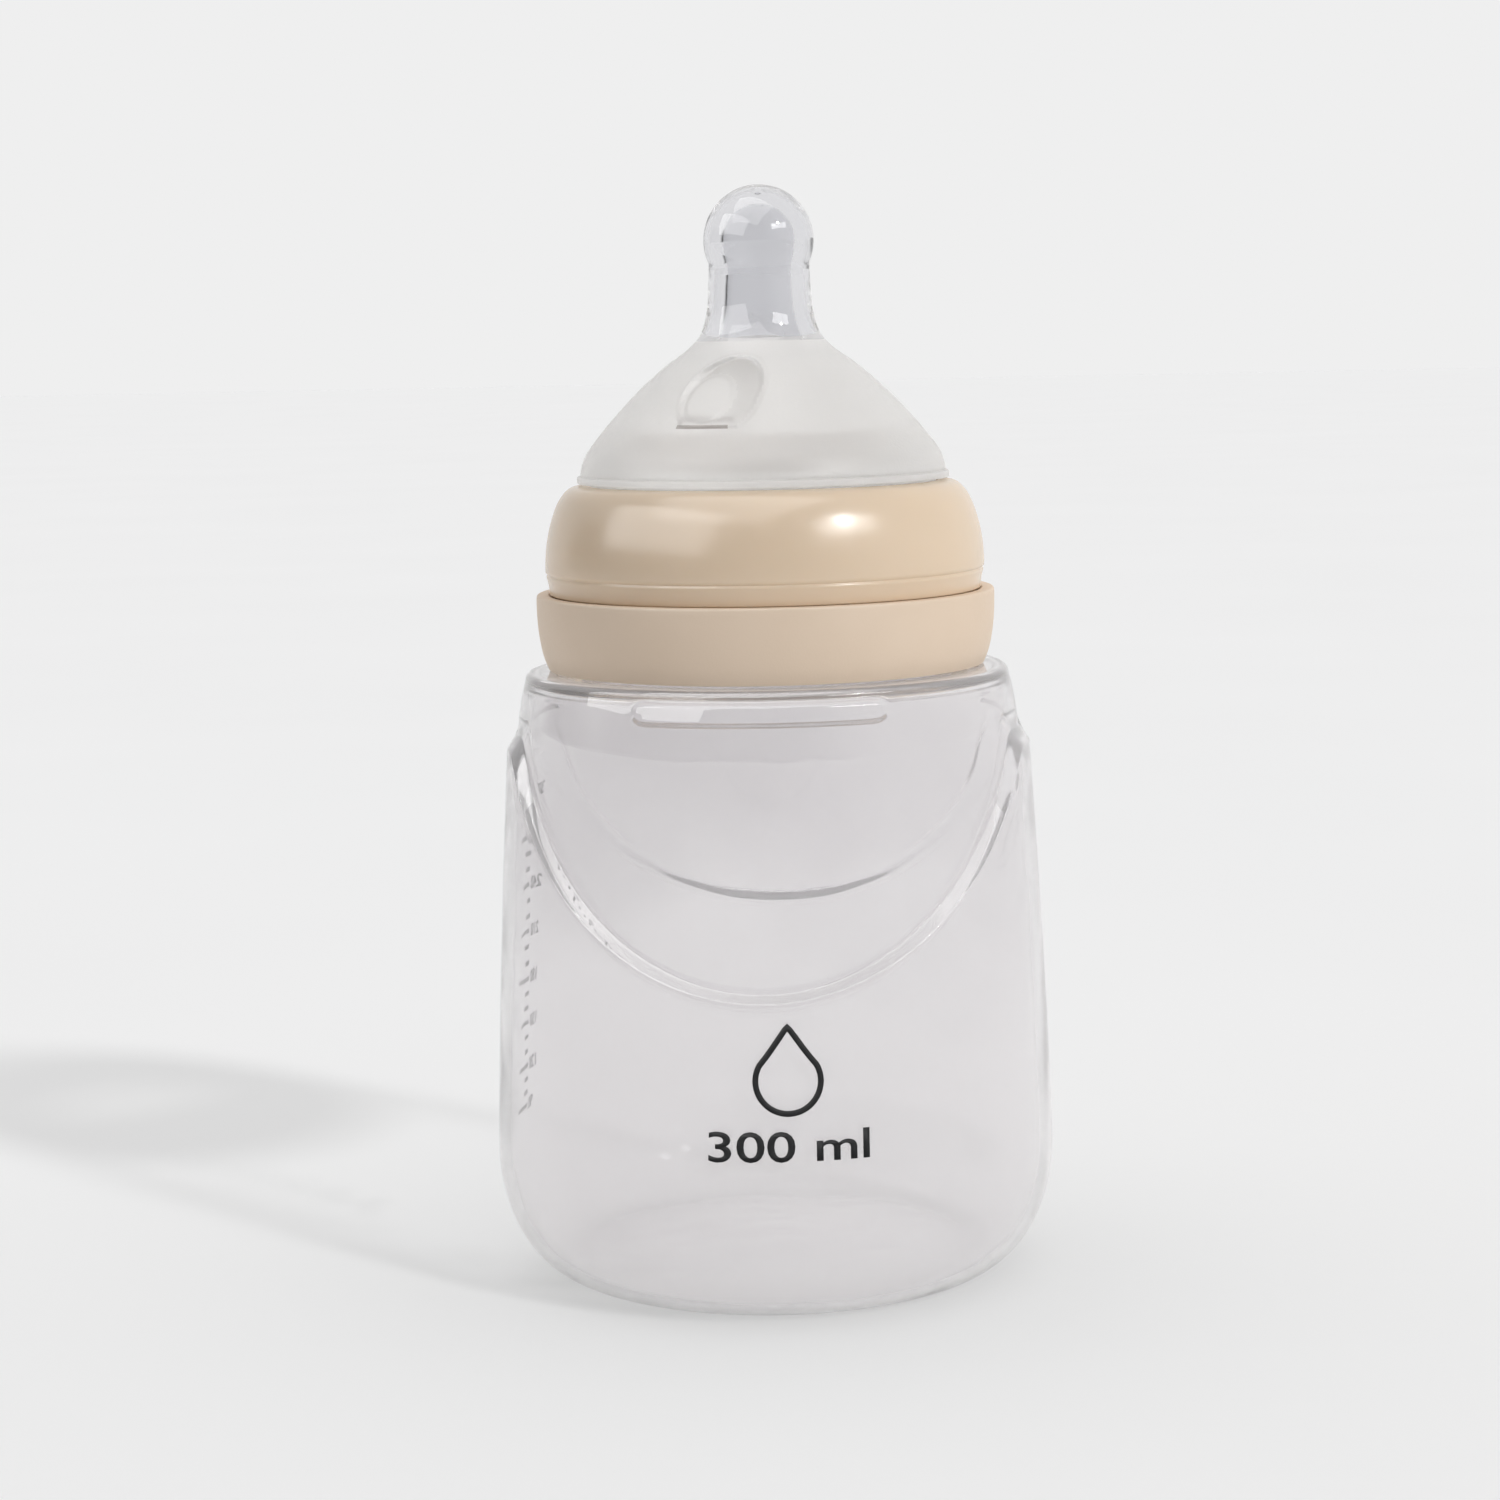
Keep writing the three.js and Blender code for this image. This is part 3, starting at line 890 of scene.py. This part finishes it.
ink = print_ink()
pieces = [
    (bottle_body(clear_bottle()), "bottle", "bottle_clear", "bottle_body"),
    (
        nipple_teat(frosted_silicone(), clear_silicone(), sunk_silicone(), slit_silicone()),
        "teat", "nipple_silicone", "nipple",
    ),
    (screw_ring(glossy_collar()), "ring", "collar_gloss", "screw_collar"),
    (soft_band(matt_band()), "ring", "band_matt", "grip_band"),
    (scale_print(ink), "bottle", None, None),
    (front_print(ink), "bottle", None, None),
]
for piece, body, finish, stood_for in pieces:
    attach(piece, body)
    if stood_for:
        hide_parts(stood_for)


# ---------------------------------------------------------------- studio

SURROUND = 0.863
PLAIN = (SURROUND, SURROUND, SURROUND, 1)
DARK = (.14, .14, .145, 1)
DARK_SIDE = (-0.45, -0.89, 0.0)
DARK_FROM = 0.1
DARK_BY = 0.75
SIDE_CARD = (-0.97, 0.24, 0.0)
CARD_FROM = 0.93
CARD_BY = 0.98
CARD_SHARE = 0.1
KEY_DIRECTION = (0.640, -0.550, 0.536)
PANEL_DISTANCE = 1.3
FLOOR_Z = -0.05
FLOOR_HALF_SIZE = 8.0


def floor_material():
    """A pale, very slightly uneven floor."""
    material, tree, shader = material_nodes("studio_floor")
    coloured(tree, noise(tree, 6), shader.inputs["Base Color"], (.92, .92, .92), (.93, .93, .93))
    shader.inputs["Roughness"].default_value = 0.9
    shader.inputs["Specular IOR Level"].default_value = 0.0
    return material


def studio_floor():
    """One large level sheet that the bottle stands on."""
    s = FLOOR_HALF_SIZE / MM
    corners = [(x, y, FLOOR_Z) for x, y in ((-s, -s), (s, -s), (s, s), (-s, s))]
    return new_object("studio_floor", corners, [[0, 1, 2, 3]], floor_material())


studio_floor()


def dot_with(tree, direction, target):
    """How far each direction of the surroundings faces the target: 1 is straight at it."""
    facing = tree.nodes.new("ShaderNodeVectorMath")
    facing.operation = "DOT_PRODUCT"
    facing.inputs[1].default_value = target
    tree.links.new(direction, facing.inputs[0])
    return facing.outputs["Value"]


def studio_world():
    """A pale surround that the camera sees plain and the pieces see darker on two sides."""
    world = bpy.data.worlds.new("studio")
    bpy.context.scene.world = world
    world.use_nodes = True
    tree = world.node_tree
    direction = tree.nodes.new("ShaderNodeTexCoord").outputs["Generated"]
    card = tree.nodes.new("ShaderNodeMapRange")
    card.inputs["From Min"].default_value = CARD_FROM
    card.inputs["From Max"].default_value = CARD_BY
    card.inputs["To Min"].default_value = 1.0
    card.inputs["To Max"].default_value = CARD_SHARE
    tree.links.new(dot_with(tree, direction, SIDE_CARD), card.inputs["Value"])
    sky = tree.nodes.new("ShaderNodeValToRGB")
    sky.color_ramp.elements[0].position = DARK_FROM
    sky.color_ramp.elements[0].color = PLAIN
    sky.color_ramp.elements[1].position = DARK_BY
    sky.color_ramp.elements[1].color = DARK
    tree.links.new(dot_with(tree, direction, DARK_SIDE), sky.inputs["Fac"])
    carded = tree.nodes.new("ShaderNodeVectorMath")
    carded.operation = "SCALE"
    tree.links.new(sky.outputs["Color"], carded.inputs[0])
    tree.links.new(card.outputs["Result"], carded.inputs["Scale"])
    path = tree.nodes.new("ShaderNodeLightPath")
    seen = tree.nodes.new("ShaderNodeMix")
    seen.data_type = "RGBA"
    seen.inputs["B"].default_value = PLAIN
    tree.links.new(path.outputs["Is Camera Ray"], seen.inputs["Factor"])
    tree.links.new(carded.outputs["Vector"], seen.inputs["A"])
    tree.links.new(seen.outputs["Result"], tree.nodes["Background"].inputs["Color"])


studio_world()


def aimed(light, towards_light, distance=0.0):
    """Turns a light to shine at the origin from that direction, but not through clear pieces."""
    holder = bpy.data.objects.new(light.name, light)
    bpy.context.scene.collection.objects.link(holder)
    out = Vector(towards_light).normalized()
    holder.location = out * distance
    holder.rotation_mode = "QUATERNION"
    holder.rotation_quaternion = out.to_track_quat("Z", "Y")
    holder.visible_transmission = False
    return holder


def sun(name, energy, spread_deg, towards_light):
    """A distant light; a wide spread makes it soft."""
    light = bpy.data.lights.new(name, "SUN")
    light.energy = energy
    light.angle = math.radians(spread_deg)
    return aimed(light, towards_light)


def panel(name, size, energy, towards_light):
    """A rectangular softbox."""
    light = bpy.data.lights.new(name, "AREA")
    light.shape = "RECTANGLE"
    light.size, light.size_y = size
    light.energy = energy
    return aimed(light, towards_light, PANEL_DISTANCE)


def reflected(name, size, energy, towards_light):
    """A softbox that shows only as a reflection."""
    panel(name, size, energy, towards_light).visible_diffuse = False


def lights_only(holder, piece_name):
    """Keeps a light off every piece but one."""
    lit = bpy.data.collections.new("lit_by_" + holder.name)
    lit.objects.link(bpy.data.objects[piece_name])
    holder.light_linking.receiver_collection = lit


sun("key", 0.9, 5, KEY_DIRECTION)
sun("overhead", 0.27, 110, (0, 0, 1))

reflected("window", (1.5, 0.8), 14, (-0.80, -0.46, 0.62))
reflected("key_glow", (0.7, 0.22), 4, KEY_DIRECTION)

dome_fill = panel("dome_fill", (1.2, 1.2), 4, (-0.80, -0.40, 0.45))
dome_fill.visible_glossy = False
lights_only(dome_fill, "nipple_teat")

reflected("top", (1.4, 1.4), 16, (-0.2, -0.35, 0.92))


# ---------------------------------------------------------------- camera

def make_camera():
    """The camera, aimed by its pan, pitch and roll."""
    data = bpy.data.cameras.new("camera")
    data.lens = LENS_MM
    data.sensor_width = SENSOR_MM
    data.clip_start, data.clip_end = 0.01, 60.0
    pan = math.radians(CAMERA_PAN_DEG)
    pitch = math.radians(CAMERA_PITCH_DEG)
    roll = math.radians(CAMERA_ROLL_DEG)
    turn = Matrix.Rotation(math.radians(CAMERA_AZIMUTH_DEG), 4, "Z")
    right = Vector((math.cos(pan), math.sin(pan), 0))
    level = Vector((-math.sin(pan), math.cos(pan), 0))
    forward = level * math.cos(pitch) - Vector((0, 0, 1)) * math.sin(pitch)
    up = right.cross(forward)
    rolled_right = right * math.cos(roll) - up * math.sin(roll)
    rolled_up = right * math.sin(roll) + up * math.cos(roll)
    axes = Matrix((rolled_right, rolled_up, -forward)).transposed().to_4x4()
    place = Matrix.Translation((0, -CAMERA_DISTANCE, CAMERA_HEIGHT))
    holder = bpy.data.objects.new("camera", data)
    holder.matrix_world = turn @ place @ axes
    bpy.context.scene.collection.objects.link(holder)
    return holder


bpy.context.scene.camera = make_camera()
bpy.context.scene.view_settings.view_transform = "Standard"
